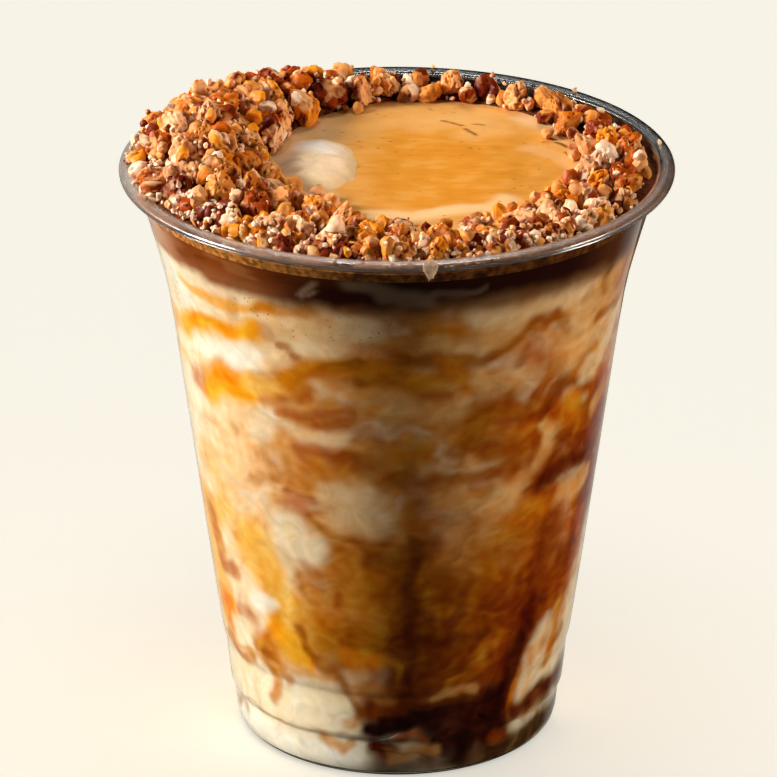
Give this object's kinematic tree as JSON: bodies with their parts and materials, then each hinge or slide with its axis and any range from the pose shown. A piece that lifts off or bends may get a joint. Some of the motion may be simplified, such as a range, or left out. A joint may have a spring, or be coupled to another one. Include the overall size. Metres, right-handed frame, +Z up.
{
  "type": "affogato in a clear cup",
  "caption": "Affogato in a clear tapered cup: marbled ice cream with caramel, espresso and crema on top, and a ring of chopped nuts round the mouth.",
  "frame": {"origin": "centre of the cup's foot, on the surface that it stands on", "axes": "+Z up out of the cup's mouth, -Y towards the side shown in the picture, +X to the right in that view"},
  "size_m": [0.098, 0.098, 0.1158],
  "materials": {
    "clear_plastic": "clear, glossy, thin moulded plastic",
    "ice_cream": "soft vanilla ice cream marbled with amber caramel",
    "caramel": "glossy dark caramel sauce",
    "espresso": "dark coffee with a few pale wisps of cream",
    "crema": "golden coffee foam, paler at the edge",
    "nuts": "chopped nuts, pale flesh with brown skin"
  },
  "bodies": {
    "root": {"cup": "clear_plastic", "marbled_ice_cream": "ice_cream", "caramel_sauce": "caramel", "espresso": "espresso", "crema": "crema", "chopped_nuts": "nuts"}
  },
  "joints": []
}
